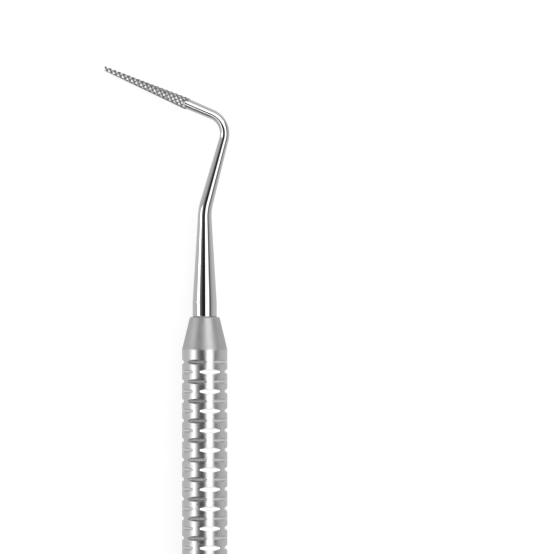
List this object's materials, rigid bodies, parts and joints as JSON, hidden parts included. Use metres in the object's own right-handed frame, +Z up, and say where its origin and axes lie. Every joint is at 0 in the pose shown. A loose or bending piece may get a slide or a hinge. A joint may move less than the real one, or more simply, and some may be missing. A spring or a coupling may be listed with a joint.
{
  "type": "bone file",
  "caption": "Double-ended steel bone file: a hollow round grip with rings of lens-shaped cuts, bent shanks, and a cross-cut and a straight-cut tapered file.",
  "frame": {"origin": "on the grip's axis at the middle of its length", "axes": "+Y along the grip to the cross-cut end, +Z up from the table it lies on, +X to the side that the straight-cut tip points to"},
  "size_m": [0.0319, 0.1854, 0.008],
  "materials": {
    "grip_steel": "stainless steel, turned and burnished, with brighter milled cuts",
    "blasted_steel": "stainless steel, bead-blasted matte",
    "polished_steel": "stainless steel, mirror-polished shank with ground file teeth"
  },
  "bodies": {
    "root": {"handle_tube": "grip_steel", "cross_cut_end_cone": "blasted_steel", "straight_cut_end_cone": "blasted_steel", "cross_cut_file": "polished_steel", "straight_cut_file": "polished_steel"}
  },
  "joints": []
}
